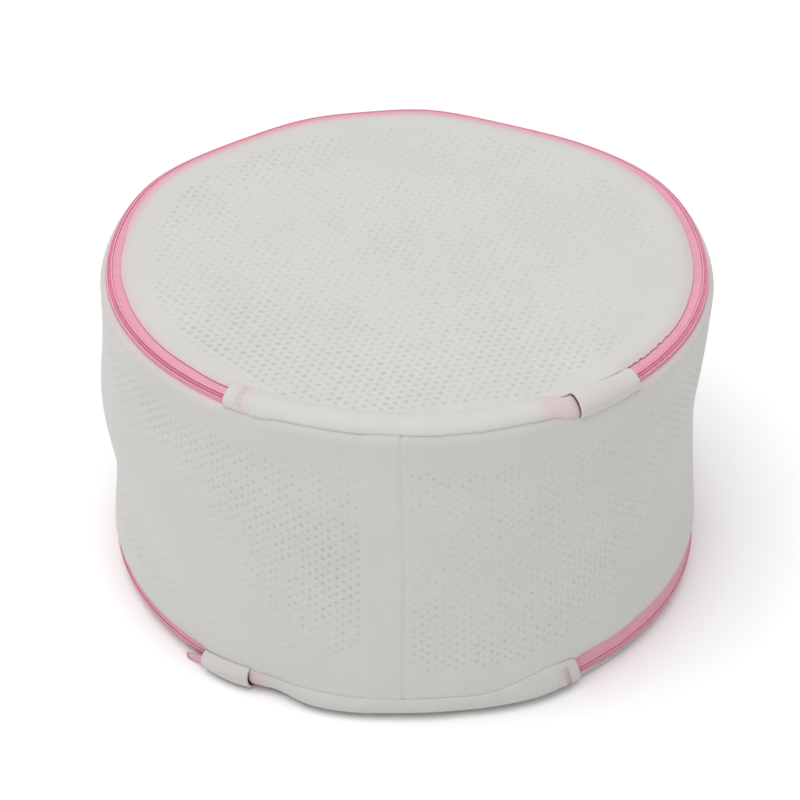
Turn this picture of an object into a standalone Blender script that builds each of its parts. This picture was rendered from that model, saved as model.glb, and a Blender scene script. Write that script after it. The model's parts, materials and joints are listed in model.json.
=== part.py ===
"""Drum-shaped mesh laundry bag whose two round ends each unzip and fold open.

The drum stands on its lower end with its axis on +Z and the seam of its wall at the
front (-Y). Each end has a zip round the back and a knit binding across the front. The
lower end is the upper one turned half a turn about Y, so its zip runs the other way.
"""

import math
from collections import namedtuple

import bmesh
import bpy
from mathutils import Matrix, Vector

# Driving dimensions in metres. Angles are in degrees from the front, growing to the right.
DRUM_RADIUS = 0.180
DRUM_HEIGHT = 0.200
CORNER_RADIUS = 0.012
MESH_THICKNESS = 0.0025
TAPE_THICKNESS = 0.0008
TAPE_REACH = 0.012
COIL_INNER = 0.0008
COIL_OUTER = 0.0022
COIL_THICKNESS = 0.0014
KNIT_THICKNESS = 0.0009
LAYER_GAP = 0.0003
GARAGE_RISE = 0.0042
GARAGE_ROOF_HALF = 0.0045
GARAGE_FOOT_HALF = 0.0095

# The lid folds about a straight line across the front, between the ends of the zip.
FOLD_Y = -0.112
FOLD_GAP = 0.0006

# Rim angles at which the zip's far end and its fixed stretches by the fold stop.
ZIP_END = 331.0
STUB_STOPS = (58.0, 302.0)
FACET_ANGLE = 5.0
CORNER_KNOT = math.radians(15)
MERGE_DISTANCE = 0.00001

# Slider and pull, in the slider's own axes: x along the zip, z out of the cloth.
SLIDER_LENGTH = 0.009
SLIDER_HALF_WIDTH = 0.0035
SLIDER_GAP = 0.0004
PLATE_THICKNESS = 0.0009
DIVIDER_HALF_WIDTH = 0.0004
DIVIDER_LENGTH = 0.0023
LIP_WIDTH = 0.0007
LIP_DEPTH = 0.0012
BAIL_HALF_LENGTH = 0.0026
BAIL_HALF_WIDTH = 0.0006
BAIL_WIRE = 0.0007
BAIL_TOP = 0.0030
PULL_PIVOT_OUT = 0.00125
PULL_LENGTH = 0.020
PULL_THICKNESS = 0.0009
PULL_ROOT_HALF = 0.0027
PULL_TIP_HALF = 0.0019
PULL_EYE = (0.0006, 0.0034, 0.0015)
PULL_SLOT = (0.0150, 0.0184, 0.0009)

# One end of the drum. seat is where its zip's centre line lies along the section, from
# where the flat end starts to bend; panel_edge, wall_edge and binding are the edges of
# the mesh and of the knit there. The spans are rim angles as they run on the upper end.
End = namedtuple("End", "name side seat panel_edge wall_edge binding zip_start "
                 "binding_span cover_span garage_span slider_at pull_swivel")
TOP = End("top", 1, seat=0.0080, panel_edge=-0.0005, wall_edge=0.0125,
          binding=(-0.0055, 0.0145), zip_start=27.0, binding_span=(-28.0, 32.2),
          cover_span=(-34.0, -28.4), garage_span=(32.8, 46.5), slider_at=37.5, pull_swivel=0.0)
BOTTOM = End("bottom", -1, seat=0.0153, panel_edge=0.0107, wall_edge=0.0213,
             binding=(0.0072, 0.0235), zip_start=24.0, binding_span=(-29.2, 28.8),
             cover_span=(-34.5, -29.6), garage_span=(29.4, 40.8), slider_at=39.1, pull_swivel=15.0)

MESH_WHITE = ("cushion_mesh", (0.72, 0.72, 0.70), 0.90, 0.0)
KNIT_WHITE = ("knit_binding", (0.78, 0.78, 0.76), 0.85, 0.0)
TAPE_PINK = ("zip_tape", (0.72, 0.28, 0.37), 0.80, 0.0)
COIL_PINK = ("zip_coil", (0.58, 0.16, 0.25), 0.45, 0.0)
PAINT_PINK = ("pull_paint", (0.64, 0.34, 0.42), 0.35, 0.4)


def clear_scene():
    """Remove whatever the opened file holds."""
    for old in list(bpy.data.objects):
        bpy.data.objects.remove(old, do_unlink=True)


def new_collection(name):
    """Make a collection under the scene's own."""
    collection = bpy.data.collections.new(name)
    bpy.context.scene.collection.children.link(collection)
    return collection


def new_material(name, colour, roughness, metallic):
    """Make one Principled material."""
    material = bpy.data.materials.new(name)
    material.use_nodes = True
    shader = material.node_tree.nodes["Principled BSDF"]
    shader.inputs["Base Color"].default_value = (*colour, 1.0)
    shader.inputs["Roughness"].default_value = roughness
    shader.inputs["Metallic"].default_value = metallic
    return material


def add_object(name, mesh, look, collection):
    """Put a mesh in a collection as an object with its own material."""
    obj = bpy.data.objects.new(name, mesh)
    collection.objects.link(obj)
    kind, colour, roughness, metallic = look
    obj.data.materials.append(new_material(f"{name}_{kind}", colour, roughness, metallic))
    return obj


def add_cutter(name, mesh):
    """Put a guide solid in the cutters' collection."""
    obj = bpy.data.objects.new(name, mesh)
    CUTTERS.objects.link(obj)
    obj.hide_render = True
    obj.display_type = "WIRE"
    return obj


def box_mesh(name, low, high):
    """Make a box between two corners."""
    bm = bmesh.new()
    bmesh.ops.create_cube(bm, size=1.0)
    size = Vector(high) - Vector(low)
    bmesh.ops.scale(bm, vec=size, verts=bm.verts)
    bmesh.ops.translate(bm, vec=(Vector(high) + Vector(low)) / 2, verts=bm.verts)
    mesh = bpy.data.meshes.new(name)
    bm.to_mesh(mesh)
    bm.free()
    return mesh


def add_boolean(obj, other, operation):
    """Cut or join another solid with an exact Boolean."""
    modifier = obj.modifiers.new(operation.title(), "BOOLEAN")
    modifier.operation = operation
    modifier.solver = "EXACT"
    modifier.object = other


def section_point(end, along, out):
    """Radius and height of a point on an end's section.

    along runs over the outer surface of the mesh, from where the flat end starts to
    bend: negative towards the middle, positive towards the wall. out is measured from
    that surface.
    """
    bend = CORNER_RADIUS * math.pi / 2
    if along <= 0:
        radius = DRUM_RADIUS - CORNER_RADIUS + along
        depth = -out
    elif along < bend:
        angle = along / CORNER_RADIUS
        radius = DRUM_RADIUS - CORNER_RADIUS + (CORNER_RADIUS + out) * math.sin(angle)
        depth = CORNER_RADIUS - (CORNER_RADIUS + out) * math.cos(angle)
    else:
        radius = DRUM_RADIUS + out
        depth = CORNER_RADIUS + along - bend
    height = DRUM_HEIGHT - depth if end.side > 0 else depth
    return radius, height


def section_profile(end, start, stop, out):
    """Points along an end's section, with a knot at each step of the bend."""
    knots = [CORNER_RADIUS * CORNER_KNOT * step for step in range(7)]
    margin = 0.0004
    inner = [knot for knot in knots if start + margin < knot < stop - margin]
    return [section_point(end, along, out) for along in (start, *inner, stop)]


def turned_strip(name, profile, thickness, span, look):
    """Turn an open profile about Z over a span of rim angles, and thicken it."""
    mesh = bpy.data.meshes.new(name)
    edges = [(index, index + 1) for index in range(len(profile) - 1)]
    mesh.from_pydata([(radius, 0.0, height) for radius, height in profile], edges, [])
    obj = add_object(name, mesh, look, PARTS)
    sweep = span[1] - span[0]
    obj.rotation_euler.z = math.radians(span[0] - 90)
    screw = obj.modifiers.new("Sweep", "SCREW")
    screw.angle = math.radians(sweep)
    screw.steps = round(sweep / FACET_ANGLE)
    screw.render_steps = screw.steps
    screw.use_merge_vertices = True
    screw.merge_threshold = MERGE_DISTANCE
    solidify = obj.modifiers.new("Thickness", "SOLIDIFY")
    solidify.thickness = thickness
    solidify.offset = 0.0
    solidify.use_even_offset = True
    return obj


def rim_span(end, span):
    """A span of the upper end's rim angles, turned for the lower end."""
    if end.side > 0:
        return span
    return (-span[1], -span[0])


def end_strip(end, part, along, out, thickness, span, look):
    """A strip of one end's section, named for its end."""
    profile = section_profile(end, along[0], along[1], out)
    return turned_strip(f"{end.name}_{part}", profile, thickness, rim_span(end, span), look)


def make_side_panel():
    """The wall of cushion mesh, from one zip to the other."""
    out = -MESH_THICKNESS / 2
    bend = CORNER_RADIUS * math.pi / 2
    upper = section_profile(TOP, TOP.wall_edge, bend, out)
    lower = [section_point(BOTTOM, BOTTOM.wall_edge, out)]
    turned_strip("side_panel", upper + lower, MESH_THICKNESS, (0, 360), MESH_WHITE)


def make_seam_binding():
    """The strip inside the wall that binds its upright seam."""
    radius = DRUM_RADIUS - MESH_THICKNESS - LAYER_GAP - KNIT_THICKNESS / 2
    profile = [(radius, DRUM_HEIGHT - 0.015), (radius, 0.018)]
    turned_strip("side_seam_binding", profile, KNIT_THICKNESS, (-6.5, -0.5), KNIT_WHITE)


def make_panels(end):
    """The round panel, split at its fold into a lid and a fixed front flap."""
    middle = CORNER_RADIUS - DRUM_RADIUS
    for part, cutter in (("panel", FRONT_CUTTER), ("panel_front", REAR_CUTTER)):
        span = (middle, end.panel_edge)
        panel = end_strip(end, part, span, -MESH_THICKNESS / 2, MESH_THICKNESS, (0, 360), MESH_WHITE)
        add_boolean(panel, cutter, "DIFFERENCE")


def make_zip_half(end, part, along, out, thickness, look):
    """One layer of the zip on the lid: the stretch that lifts and two fixed ends."""
    lid = end_strip(end, f"{part}_lid", along, out, thickness, (end.zip_start, ZIP_END), look)
    add_boolean(lid, FRONT_CUTTER, "DIFFERENCE")
    spans = {"start": (end.zip_start, STUB_STOPS[0]), "end": (STUB_STOPS[1], ZIP_END)}
    for label, span in spans.items():
        stub = end_strip(end, f"{part}_lid_{label}", along, out, thickness, span, look)
        add_boolean(stub, REAR_CUTTER, "DIFFERENCE")


def make_zip(end):
    """The two tapes under the edges of the mesh, and the coil sewn on each."""
    tape_out = -MESH_THICKNESS - LAYER_GAP - TAPE_THICKNESS / 2
    coil_out = -MESH_THICKNESS + COIL_THICKNESS / 2
    lid_tape = (end.seat - TAPE_REACH, end.seat - COIL_INNER)
    wall_tape = (end.seat + COIL_INNER, end.seat + TAPE_REACH)
    lid_coil = (end.seat - COIL_OUTER, end.seat - COIL_INNER)
    wall_coil = (end.seat + COIL_INNER, end.seat + COIL_OUTER)
    whole = (end.zip_start, ZIP_END)
    make_zip_half(end, "tape", lid_tape, tape_out, TAPE_THICKNESS, TAPE_PINK)
    make_zip_half(end, "coil", lid_coil, coil_out, COIL_THICKNESS, COIL_PINK)
    end_strip(end, "tape_wall", wall_tape, tape_out, TAPE_THICKNESS, whole, TAPE_PINK)
    end_strip(end, "coil_wall", wall_coil, coil_out, COIL_THICKNESS, whole, COIL_PINK)


def make_coverings(end):
    """The knit binding across the front and the cover over the zip's far end."""
    out = LAYER_GAP + KNIT_THICKNESS / 2
    end_strip(end, "binding", end.binding, out, KNIT_THICKNESS, end.binding_span, KNIT_WHITE)
    end_strip(end, "end_cover", end.binding, out, KNIT_THICKNESS, end.cover_span, KNIT_WHITE)


def make_garage(end):
    """The elastic sleeve over the closed end of the zip, which hides the slider."""
    roof = GARAGE_RISE + KNIT_THICKNESS / 2
    foot = LAYER_GAP + KNIT_THICKNESS / 2
    shape = ((-GARAGE_FOOT_HALF, foot), (-GARAGE_ROOF_HALF - 0.0022, (roof + foot) / 2),
             (-GARAGE_ROOF_HALF, roof), (0.0, roof), (GARAGE_ROOF_HALF, roof),
             (GARAGE_ROOF_HALF + 0.0022, (roof + foot) / 2), (GARAGE_FOOT_HALF, foot))
    profile = [section_point(end, end.seat + along, out) for along, out in shape]
    span = rim_span(end, end.garage_span)
    turned_strip(f"{end.name}_garage", profile, KNIT_THICKNESS, span, KNIT_WHITE)


def zip_frame(end, angle):
    """Frame on the zip's centre line: x away from the garage, z out of the cloth."""
    turn = math.radians(angle * end.side)
    lean = end.seat / CORNER_RADIUS
    radius, height = section_point(end, end.seat, 0.0)
    radial = Vector((math.sin(turn), -math.cos(turn), 0.0))
    travel = Vector((math.cos(turn), math.sin(turn), 0.0)) * end.side
    outward = radial * math.sin(lean) + Vector((0.0, 0.0, math.cos(lean) * end.side))
    frame = Matrix((travel, outward.cross(travel), outward)).transposed().to_4x4()
    frame.translation = radial * radius + Vector((0.0, 0.0, height))
    return frame


def slider_boxes():
    """The slider's plates, lips, divider and bail, as low and high corners."""
    half = SLIDER_LENGTH / 2
    wide = SLIDER_HALF_WIDTH
    tape_under = -MESH_THICKNESS - LAYER_GAP - TAPE_THICKNESS
    tape_bend = CORNER_RADIUS + tape_under
    tape_bow = tape_bend - math.sqrt(tape_bend ** 2 - wide ** 2)
    under = tape_under - tape_bow - SLIDER_GAP
    over = -MESH_THICKNESS + COIL_THICKNESS + SLIDER_GAP
    top = over + PLATE_THICKNESS
    lip_low = over - LIP_DEPTH
    wire = BAIL_WIRE
    overlap = 0.0001
    yield (-half, -wide, over), (half, wide, top)
    yield (-half, -wide, under - PLATE_THICKNESS), (half, wide, under)
    yield ((-half, -DIVIDER_HALF_WIDTH, under - overlap),
           (-half + DIVIDER_LENGTH, DIVIDER_HALF_WIDTH, over + overlap))
    for side in (-1, 1):
        edges = sorted((side * wide, side * (wide - LIP_WIDTH)))
        yield (-half, edges[0], lip_low), (half, edges[1], over + overlap)
        leg = sorted((side * BAIL_HALF_LENGTH, side * (BAIL_HALF_LENGTH - wire)))
        yield (leg[0], -BAIL_HALF_WIDTH, top - overlap), (leg[1], BAIL_HALF_WIDTH, BAIL_TOP)
    yield ((-BAIL_HALF_LENGTH, -BAIL_HALF_WIDTH, BAIL_TOP - wire),
           (BAIL_HALF_LENGTH, BAIL_HALF_WIDTH, BAIL_TOP))


def make_slider(end):
    """The slider, hung from an empty on the drum's axis, which its joint turns about."""
    name = f"{end.name}_slider"
    axis = bpy.data.objects.new(f"{name}_axis", None)
    PARTS.objects.link(axis)
    frame = zip_frame(end, end.slider_at)
    first, *others = slider_boxes()
    slider = add_object(name, box_mesh(name, *first), PAINT_PINK, PARTS)
    slider.parent = axis
    slider.matrix_local = frame
    for number, corners in enumerate(others):
        piece = add_cutter(f"{name}_block_{number}", box_mesh("block", *corners))
        piece.matrix_world = frame
        add_boolean(slider, piece, "UNION")
    return slider


def add_outline(curve, points):
    """Add one closed outline to a flat curve."""
    spline = curve.splines.new("POLY")
    spline.points.add(len(points) - 1)
    for point, (x, y) in zip(spline.points, points):
        point.co = (x, y, 0.0, 1.0)
    spline.use_cyclic_u = True


def rectangle(x_low, x_high, half_width):
    """Corners of a rectangle that straddles the pull's centre line."""
    return [(x_low, -half_width), (x_high, -half_width), (x_high, half_width), (x_low, half_width)]


def pull_outline():
    """Outer edge of the pull: a straight root and a round tip."""
    centre = PULL_LENGTH - PULL_TIP_HALF
    tip = [math.radians(angle) for angle in range(-75, 90, 30)]
    arc = [(centre + PULL_TIP_HALF * math.cos(a), PULL_TIP_HALF * math.sin(a)) for a in tip]
    root = -0.0007
    shoulder = 0.0090
    return [(root, -PULL_ROOT_HALF), (shoulder, -PULL_ROOT_HALF), *arc,
            (shoulder, PULL_ROOT_HALF), (root, PULL_ROOT_HALF)]


def make_pull(end, slider):
    """The pull tab, whose eye rides on the slider's bail, with its origin on the pivot."""
    name = f"{end.name}_pull"
    curve = bpy.data.curves.new(name, "CURVE")
    curve.dimensions = "2D"
    curve.fill_mode = "BOTH"
    curve.extrude = PULL_THICKNESS / 2
    for points in (pull_outline(), rectangle(*PULL_EYE), rectangle(*PULL_SLOT)):
        add_outline(curve, points)
    flat = bpy.data.objects.new(f"{name}_outline", curve)
    PARTS.objects.link(flat)
    graph = bpy.context.evaluated_depsgraph_get()
    mesh = bpy.data.meshes.new_from_object(flat.evaluated_get(graph))
    bpy.data.objects.remove(flat, do_unlink=True)
    weld_mesh(mesh)
    pull = add_object(name, mesh, PAINT_PINK, PARTS)
    pull.parent = slider
    swivel = Matrix.Rotation(math.radians(end.pull_swivel), 4, "Z")
    pull.matrix_local = Matrix.Translation((0.0, 0.0, PULL_PIVOT_OUT)) @ swivel


def weld_mesh(mesh):
    """Join the loose caps of a mesh made from a curve."""
    bm = bmesh.new()
    bm.from_mesh(mesh)
    bmesh.ops.remove_doubles(bm, verts=bm.verts, dist=MERGE_DISTANCE)
    bmesh.ops.recalc_face_normals(bm, faces=bm.faces)
    bm.to_mesh(mesh)
    bm.free()


def make_fold_cutter(name, y_low, y_high):
    """A box that removes everything on one side of the fold."""
    reach = DRUM_RADIUS * 1.2
    low = (-reach, y_low, -0.05)
    high = (reach, y_high, DRUM_HEIGHT + 0.05)
    return add_cutter(name, box_mesh(name, low, high))


def make_end(end):
    """Everything that belongs to one round end of the drum."""
    make_panels(end)
    make_zip(end)
    make_coverings(end)
    make_garage(end)
    slider = make_slider(end)
    make_pull(end, slider)


clear_scene()
PARTS = new_collection("mesh_laundry_bag")
CUTTERS = new_collection("cutters")
FRONT_CUTTER = make_fold_cutter("front_cutter", -DRUM_RADIUS * 1.2, FOLD_Y + FOLD_GAP / 2)
REAR_CUTTER = make_fold_cutter("rear_cutter", FOLD_Y - FOLD_GAP / 2, DRUM_RADIUS * 1.2)
make_side_panel()
make_seam_binding()
make_end(TOP)
make_end(BOTTOM)
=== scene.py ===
import json
import math
from collections import namedtuple

import bmesh
import bpy
import numpy as np
from mathutils import Matrix, Vector


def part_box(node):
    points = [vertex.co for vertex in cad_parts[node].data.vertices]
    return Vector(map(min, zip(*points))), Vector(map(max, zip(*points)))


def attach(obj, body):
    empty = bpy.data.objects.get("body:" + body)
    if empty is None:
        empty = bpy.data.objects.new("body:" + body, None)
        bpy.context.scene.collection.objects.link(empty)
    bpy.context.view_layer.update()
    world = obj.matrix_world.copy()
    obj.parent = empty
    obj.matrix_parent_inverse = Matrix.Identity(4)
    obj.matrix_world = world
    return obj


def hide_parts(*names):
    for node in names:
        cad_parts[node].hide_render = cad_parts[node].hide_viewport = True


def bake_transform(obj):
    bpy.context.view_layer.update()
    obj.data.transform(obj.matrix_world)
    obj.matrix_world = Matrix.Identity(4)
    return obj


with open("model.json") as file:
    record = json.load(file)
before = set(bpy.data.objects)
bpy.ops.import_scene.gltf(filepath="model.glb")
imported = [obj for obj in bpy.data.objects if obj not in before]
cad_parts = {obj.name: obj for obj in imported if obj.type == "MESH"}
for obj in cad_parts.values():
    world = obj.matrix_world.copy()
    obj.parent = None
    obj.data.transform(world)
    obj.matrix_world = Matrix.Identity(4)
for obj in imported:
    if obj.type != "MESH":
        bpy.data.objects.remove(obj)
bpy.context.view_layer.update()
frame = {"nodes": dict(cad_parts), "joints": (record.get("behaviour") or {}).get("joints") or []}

# The drum's section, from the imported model. Lengths are in metres.
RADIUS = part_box("side_panel")[1].x
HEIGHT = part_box("top_panel")[1].z
CORNER = 0.012
BEND = CORNER * math.pi / 2
FLAT_RADIUS = RADIUS - CORNER
CLOTH = 0.0025
KNIT = 0.0009
TAPE = 0.0008
TAPE_OUT = -0.0032
WALL_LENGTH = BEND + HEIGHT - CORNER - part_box("side_panel")[0].z

# The padded mesh's small pits, its rounded cut edges, and the columns of points at the wall's seam.
SIDE_PITCH = (2 * math.pi * RADIUS / 282, 0.0058)
SIDE_COLUMNS = 275
SIDE_ROWS = 26
SIDE_FIRST_ANGLE = math.radians(1.9)
SIDE_FIELD_TOP = 0.0225
END_PITCH = 0.00585
END_TURN = math.radians(13)
PIT_DEPTH = 0.0010
LIP_DEPTH = 0.00010
CELL_SHIFT = 0.00020
PIT_STRENGTH = (0.65, 1.2)
LIP_SCALE = (0.75, 1.25)
LIP_SHADE = 0.42
EDGE_PRESS = 0.0021
EDGE_ROUND = CLOTH * 0.42
ROLL_TURNS = np.radians([38, 90, 142])
SEAM_COLUMNS = np.concatenate([np.linspace(-0.0215, -0.0195, 4), np.linspace(-0.017, -0.003, 6),
                               np.array([-0.0018, -0.0010, -0.0005, 0.0, 0.0005, 0.0012, 0.0020])])

# Zip coil and its stitches, about the zip's centre line and the cloth's face.
COIL_PITCH = 0.0013
COIL_STEPS = 10
COIL_MIDDLE = 0.0009
COIL_SWING = 0.00125
COIL_OUT = -0.00178
COIL_RISE = 0.00045
COIL_WIRE = 0.00027
STITCH_ALONG = 0.00195
STITCH_OUT = -0.00145

# The knit pieces across the front: limits along the section, and rim angles in degrees.
SLEEVE_LAP = math.radians(0.9)
BAND = {"top": (-0.0055, 0.0107), "bottom": (0.0072, 0.0220)}
PATCH = {"top": (-0.0052, 0.0132), "bottom": (0.0080, 0.0308)}
WIDENING = {"top": (20, 28), "bottom": (14, 29)}
COVER_RISE = 0.0004
COVER_LENGTH = 0.020
STRIP_FOOT = 0.0002
STRIP_CROWN = 0.0011
COVER_SKEW = {"top": 0.10, "bottom": -0.32}

# How far each pull is swung and rolled on its slider, in degrees.
PULL_HANG = {"top": (0, 0), "bottom": (5, 14)}

End = namedtuple("End", "name side seat panel_edge wall_edge binding cover garage zip_span")


def node_points(node):
    """Vertices of a CAD node as an array."""
    return np.array([v.co for v in frame["nodes"][node].data.vertices])


def unroll(side, points):
    """Distance along an end's section of points near its surface, from where its flat part ends."""
    radius = np.hypot(points[:, 0], points[:, 1]) - FLAT_RADIUS
    depth = HEIGHT - points[:, 2] if side > 0 else points[:, 2]
    bent = CORNER * np.arctan2(radius, CORNER - depth)
    return np.where(radius <= 0, radius, np.where(depth >= CORNER, BEND + depth - CORNER, bent))


def rim_angles(node):
    """Lowest and highest rim angle of a node that lies near the front, in radians."""
    points = node_points(node)
    angles = np.arctan2(points[:, 0], -points[:, 1])
    return angles.min(), angles.max()


def back_angles(node):
    """The same for a zip that runs round the back, measured from the front to the right."""
    points = node_points(node)
    angles = np.arctan2(points[:, 0], -points[:, 1]) % (2 * math.pi)
    return angles.min(), angles.max()


def read_end(name, side):
    """Everything scene.py needs to know about one end, measured on its nodes."""
    coil = unroll(side, node_points(f"{name}_coil_wall")).min()
    lid_coil = unroll(side, node_points(f"{name}_coil_lid")).max()
    panel = unroll(side, node_points(f"{name}_panel")).max()
    wall = unroll(side, node_points("side_panel")).min()
    return End(name, side, (coil + lid_coil) / 2, panel, wall, rim_angles(f"{name}_binding"),
               rim_angles(f"{name}_end_cover"), rim_angles(f"{name}_garage"),
               back_angles(f"{name}_coil_wall"))


TOP = read_end("top", 1)
BOTTOM = read_end("bottom", -1)

# Soft dents and bulges: rim angle and its half width in degrees, height and its half
# height, and how far the cloth stands out and is lifted.
Dent = namedtuple("Dent", "angle width height reach out lift")
DENTS = (
    Dent(180, 75, 0.205, 0.050, 0.0022, 0.0032),
    Dent(-118, 15, 0.205, 0.060, 0.0030, 0.0010),
    Dent(-140, 12, 0.205, 0.050, -0.0006, -0.0008),
    Dent(-160, 10, 0.205, 0.060, 0.0012, 0.0008),
    Dent(178, 10, 0.205, 0.060, 0.0022, 0.0012),
    Dent(158, 12, 0.205, 0.050, -0.0012, -0.0012),
    Dent(122, 17, 0.205, 0.060, 0.0042, 0.0012),
    Dent(75, 30, 0.092, 0.062, -0.0076, 0.0),
    Dent(-82, 24, 0.118, 0.030, 0.0036, 0.0),
    Dent(-76, 26, 0.060, 0.030, -0.0050, 0.0),
    Dent(-60, 34, 0.010, 0.040, -0.0022, 0.0),
    Dent(0, 60, 0.168, 0.020, -0.0016, 0.0),
    Dent(0, 50, 0.025, 0.045, 0.0024, 0.0),
    Dent(-14, 8, 0.0, 0.016, 0.0030, 0.0),
    Dent(-24.5, 4.5, 0.0, 0.018, -0.0036, 0.0),
    Dent(25, 9, 0.0, 0.020, 0.0026, 0.0),
    Dent(40, 8, -0.001, 0.0035, 0.0044, 0.0),
    Dent(41, 8, 0.0085, 0.012, -0.0012, -0.0003),
)
TWIST = math.radians(-0.8)


def ease(value, low, high):
    """0 below low, 1 above high, smooth between."""
    share = np.clip((value - low) / (high - low), 0, 1)
    return share * share * (3 - 2 * share)


def wander(u, v, phase=0.0):
    """A smooth, repeatable waviness between about -1 and 1; u and v are in waves."""
    first = np.sin(6.3 * u + 1.7 + phase) * np.sin(5.1 * v + 0.6 - phase)
    second = np.sin(3.7 * u - 4.3 * v + 2.2 * phase) * 0.6
    third = np.sin(10.9 * u + 7.7 * v + 1.1 + phase) * 0.3
    return (first + second + third) / 1.6


def ring_rise(angle):
    """How far the lower zip has crept up the wall at the right, and down at the left."""
    turn = np.degrees(angle)
    right = 0.0016 * ease(turn, 44.5, 51) * (1 - ease(turn, 52, 70))
    left = ease(-turn, 30, 48) * (1 - ease(-turn, 80, 130))
    return right - 0.0010 * left


def settle(points):
    """Bend ideal points into the slightly slack, hand-sewn drum."""
    points = np.array(points, float)
    x, y, z = points[..., 0], points[..., 1], points[..., 2]
    radius = np.hypot(x, y)
    angle = np.arctan2(x, -y)
    share = (radius / RADIUS) ** 4
    out = np.zeros_like(z)
    lift = np.zeros_like(z)
    for dent in DENTS:
        off = (np.degrees(angle) - dent.angle + 180) % 360 - 180
        near = np.exp(-(off / dent.width) ** 2 - ((z - dent.height) / dent.reach) ** 2)
        out += dent.out * near
        lift += dent.lift * near
    belly = np.sin(np.pi * np.clip(z / HEIGHT, 0, 1)) ** 2
    out += 0.0008 * belly * wander(np.sin(angle), z * 6 + np.cos(angle))
    scale = 1 + out * share / np.maximum(radius, 0.01)
    lift += ring_rise(angle) * ease(z, 0.002, 0.010) * (1 - ease(z, 0.030, 0.085))
    lid = ease(z, HEIGHT - 0.02, HEIGHT)
    sag = lid * (1 - np.clip(radius / RADIUS, 0, 1) ** 2)
    twist = TWIST * ease(z, 0.10, 0.18)
    points[..., 0] = scale * (x * np.cos(twist) - y * np.sin(twist))
    points[..., 1] = scale * (y * np.cos(twist) + x * np.sin(twist))
    points[..., 2] = z + lift * share - sag * (0.0012 + 0.0007 * wander(x * 9, y * 9))
    return points


def section(side, along, out):
    """Radius and height of points on an end's section; out is measured off the cloth's face."""
    turn = np.clip(along / CORNER, 0, math.pi / 2)
    radius = FLAT_RADIUS + np.minimum(along, 0) + (CORNER + out) * np.sin(turn)
    depth = CORNER - (CORNER + out) * np.cos(turn) + np.maximum(along - BEND, 0)
    return radius, HEIGHT - depth if side > 0 else depth


def place(side, angle, along, out):
    """Points on the settled drum from rim angle, distance along the section, and height off it."""
    angle, along, out = np.broadcast_arrays(angle, along, out)
    radius, height = section(side, along, out)
    return settle(np.stack([radius * np.sin(angle), -radius * np.cos(angle), height], -1))


# ---------------------------------------------------------------- mesh making


def fill_mesh(name, points, groups):
    """A mesh from an array of points and arrays of faces, one array for each face size."""
    mesh = bpy.data.meshes.new(name)
    groups = [np.asarray(group, np.int32) for group in groups if len(group)]
    loops = np.concatenate([group.ravel() for group in groups])
    sizes = np.concatenate([np.full(len(group), group.shape[1]) for group in groups])
    mesh.vertices.add(len(points))
    mesh.vertices.foreach_set("co", np.asarray(points, np.float32).ravel())
    mesh.loops.add(len(loops))
    mesh.loops.foreach_set("vertex_index", loops)
    mesh.polygons.add(len(sizes))
    mesh.polygons.foreach_set("loop_start", np.concatenate([[0], np.cumsum(sizes)[:-1]]).astype(np.int32))
    mesh.update(calc_edges=True)
    mesh.validate()
    return mesh


def add_mark(mesh, name, values):
    """Store one number for each vertex, for the material to read."""
    mesh.attributes.new(name, "FLOAT", "POINT").data.foreach_set("value", np.asarray(values, np.float32))


def add_place(mesh, name, values):
    """Store one vector for each vertex, for the material's pattern."""
    stored = mesh.attributes.new(name, "FLOAT_VECTOR", "POINT")
    stored.data.foreach_set("vector", np.asarray(values, np.float32).ravel())


def make_piece(name, points, groups, material, slot, weave=None, **marks):
    """A smooth shaded piece with its faces pointing out."""
    mesh = fill_mesh(name, points, groups)
    bm = bmesh.new()
    bm.from_mesh(mesh)
    bmesh.ops.recalc_face_normals(bm, faces=bm.faces)
    bm.to_mesh(mesh)
    bm.free()
    mesh.shade_smooth()
    add_place(mesh, "rest", points)
    if weave is not None:
        add_place(mesh, "weave", weave)
    for mark, values in marks.items():
        add_mark(mesh, mark, values)
    mesh.materials.append(material)
    obj = bpy.data.objects.new(name, mesh)
    bpy.context.scene.collection.objects.link(obj)
    return obj


def ring_faces(rows, columns):
    """Quads of a grid of rows by columns, whose last column joins the first."""
    r, c = (grid.ravel() for grid in np.meshgrid(np.arange(rows - 1), np.arange(columns), indexing="ij"))
    r2, c2 = r + 1, (c + 1) % columns
    return np.stack([r * columns + c, r * columns + c2, r2 * columns + c2, r2 * columns + c], -1)


def stamp_cells(centres, outline):
    """Corners of one six-sided cell on each centre, shared between neighbours."""
    corners = (centres[:, None] + outline).reshape(-1, 2)
    keys = np.round(corners / 0.0001 + 0.2718).astype(np.int64)
    _, first, index = np.unique(keys, axis=0, return_index=True, return_inverse=True)
    return corners[first], index.reshape(-1, 6)


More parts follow.
